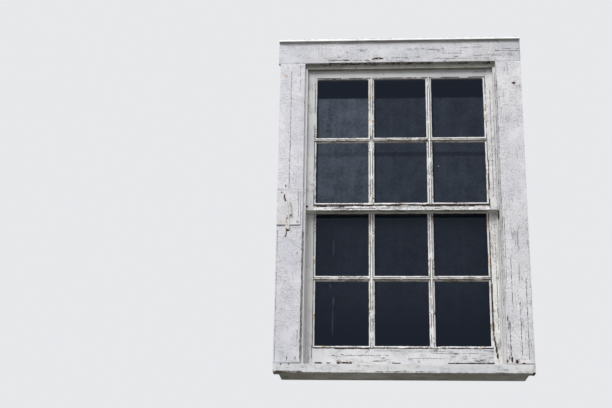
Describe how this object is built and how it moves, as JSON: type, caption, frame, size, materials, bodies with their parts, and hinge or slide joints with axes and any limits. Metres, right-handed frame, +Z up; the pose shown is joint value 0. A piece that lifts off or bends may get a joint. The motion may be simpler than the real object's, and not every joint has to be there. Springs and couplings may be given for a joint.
{
  "type": "sash window",
  "caption": "Old painted wooden double-hung sash window with glazing bars, exterior casing, sill and box frame; both sashes slide on cords and weights.",
  "frame": {"origin": "middle of the sill's flat underside, in the plane of the wall face behind the casing", "axes": "+X to the right seen from outdoors, +Y into the house, +Z up"},
  "size_m": [1.114, 0.2037, 1.5706],
  "materials": {
    "painted_wood": "old off-white oil paint, cracked and peeling",
    "bare_wood": "bare aged pine",
    "glass": "old glass, dusty, with a dark room behind",
    "putty": "painted linseed putty, cracked and weathered",
    "cord": "braided cotton",
    "cast_iron": "rough casting, light rust",
    "pulley_iron": "dark iron, worn in the groove",
    "hardware": "dark tarnished brass",
    "painted_iron": "off-white paint over rusting iron"
  },
  "bodies": {
    "frame": {"sill": "painted_wood", "head_jamb": "painted_wood", "head_casing": "painted_wood", "drip_cap": "painted_wood", "head_blind_stop": "painted_wood", "head_parting_bead": "painted_wood", "head_inside_stop": "painted_wood", "left_jamb": "painted_wood", "left_pocket_cover": "bare_wood", "left_casing": "painted_wood", "left_blind_stop": "painted_wood", "left_parting_bead": "painted_wood", "left_inside_stop": "painted_wood", "left_box_back": "bare_wood", "left_box_lining": "painted_wood", "right_jamb": "painted_wood", "right_pocket_cover": "bare_wood", "right_casing": "painted_wood", "right_blind_stop": "painted_wood", "right_parting_bead": "painted_wood", "right_inside_stop": "painted_wood", "right_box_back": "bare_wood", "right_box_lining": "painted_wood", "hinge_block": "painted_wood", "shutter_hinge": "painted_iron", "pulley_housings": "pulley_iron", "upper_left_cord": "cord", "upper_right_cord": "cord", "lower_left_cord": "cord", "lower_right_cord": "cord"},
    "upper_sash": {"upper_left_stile": "painted_wood", "upper_right_stile": "painted_wood", "upper_top_rail": "painted_wood", "upper_meeting_rail": "painted_wood", "upper_upright_bar_1": "painted_wood", "upper_upright_bar_2": "painted_wood", "upper_cross_bars": "painted_wood", "upper_panes": "glass", "upper_putty": "putty", "lock_keeper": "hardware"},
    "lower_sash": {"lower_left_stile": "painted_wood", "lower_right_stile": "painted_wood", "lower_bottom_rail": "painted_wood", "lower_meeting_rail": "painted_wood", "lower_upright_bar_1": "painted_wood", "lower_upright_bar_2": "painted_wood", "lower_cross_bars": "painted_wood", "lower_panes": "glass", "lower_putty": "putty", "lock_base": "hardware", "sash_lifts": "hardware"},
    "lock_lever": {"lock_lever": "hardware"},
    "upper_left_weight": {"upper_left_weight": "cast_iron"},
    "upper_left_pulley": {"upper_left_pulley": "pulley_iron"},
    "upper_right_weight": {"upper_right_weight": "cast_iron"},
    "upper_right_pulley": {"upper_right_pulley": "pulley_iron"},
    "lower_left_weight": {"lower_left_weight": "cast_iron"},
    "lower_left_pulley": {"lower_left_pulley": "pulley_iron"},
    "lower_right_weight": {"lower_right_weight": "cast_iron"},
    "lower_right_pulley": {"lower_right_pulley": "pulley_iron"}
  },
  "joints": [
    {"name": "upper_sash_slide", "type": "slide", "parent": "frame", "child": "upper_sash", "axis": [0, 0, -1], "range_m": [0, 0.57], "deforming": ["upper_left_cord", "upper_right_cord"]},
    {"name": "lower_sash_slide", "type": "slide", "parent": "frame", "child": "lower_sash", "axis": [0, 0, 1], "range_m": [0, 0.57], "deforming": ["lower_left_cord", "lower_right_cord"]},
    {"name": "lock_turn", "type": "hinge", "parent": "lower_sash", "child": "lock_lever", "pos_m": [0, 0.08535, 0.7891], "axis": [0, 0, -1], "range_deg": [0, 90]},
    {"name": "upper_left_weight_slide", "type": "slide", "parent": "frame", "child": "upper_left_weight", "axis": [0, 0, 1], "range_m": [0, 0.5705]},
    {"name": "upper_left_pulley_spin", "type": "hinge", "parent": "frame", "child": "upper_left_pulley", "pos_m": [-0.456, 0.0405, 1.3481], "axis": [0, 1, 0], "range_deg": [0, 1309.3]},
    {"name": "upper_right_weight_slide", "type": "slide", "parent": "frame", "child": "upper_right_weight", "axis": [0, 0, 1], "range_m": [0, 0.5705]},
    {"name": "upper_right_pulley_spin", "type": "hinge", "parent": "frame", "child": "upper_right_pulley", "pos_m": [0.456, 0.0405, 1.3481], "axis": [0, -1, 0], "range_deg": [0, 1309.3]},
    {"name": "lower_left_weight_slide", "type": "slide", "parent": "frame", "child": "lower_left_weight", "axis": [0, 0, -1], "range_m": [0, 0.5705]},
    {"name": "lower_left_pulley_spin", "type": "hinge", "parent": "frame", "child": "lower_left_pulley", "pos_m": [-0.456, 0.0902, 1.3481], "axis": [0, -1, 0], "range_deg": [0, 1309.3]},
    {"name": "lower_right_weight_slide", "type": "slide", "parent": "frame", "child": "lower_right_weight", "axis": [0, 0, -1], "range_m": [0, 0.5705]},
    {"name": "lower_right_pulley_spin", "type": "hinge", "parent": "frame", "child": "lower_right_pulley", "pos_m": [0.456, 0.0902, 1.3481], "axis": [0, 1, 0], "range_deg": [0, 1309.3]}
  ],
  "couplings": [
    {"joint": "upper_left_weight_slide", "follows": "upper_sash_slide", "ratio": 1},
    {"joint": "upper_left_pulley_spin", "follows": "upper_sash_slide", "rad_per_m": 40},
    {"joint": "upper_right_weight_slide", "follows": "upper_sash_slide", "ratio": 1},
    {"joint": "upper_right_pulley_spin", "follows": "upper_sash_slide", "rad_per_m": 40},
    {"joint": "lower_left_weight_slide", "follows": "lower_sash_slide", "ratio": 1},
    {"joint": "lower_left_pulley_spin", "follows": "lower_sash_slide", "rad_per_m": 40},
    {"joint": "lower_right_weight_slide", "follows": "lower_sash_slide", "ratio": 1},
    {"joint": "lower_right_pulley_spin", "follows": "lower_sash_slide", "rad_per_m": 40}
  ]
}
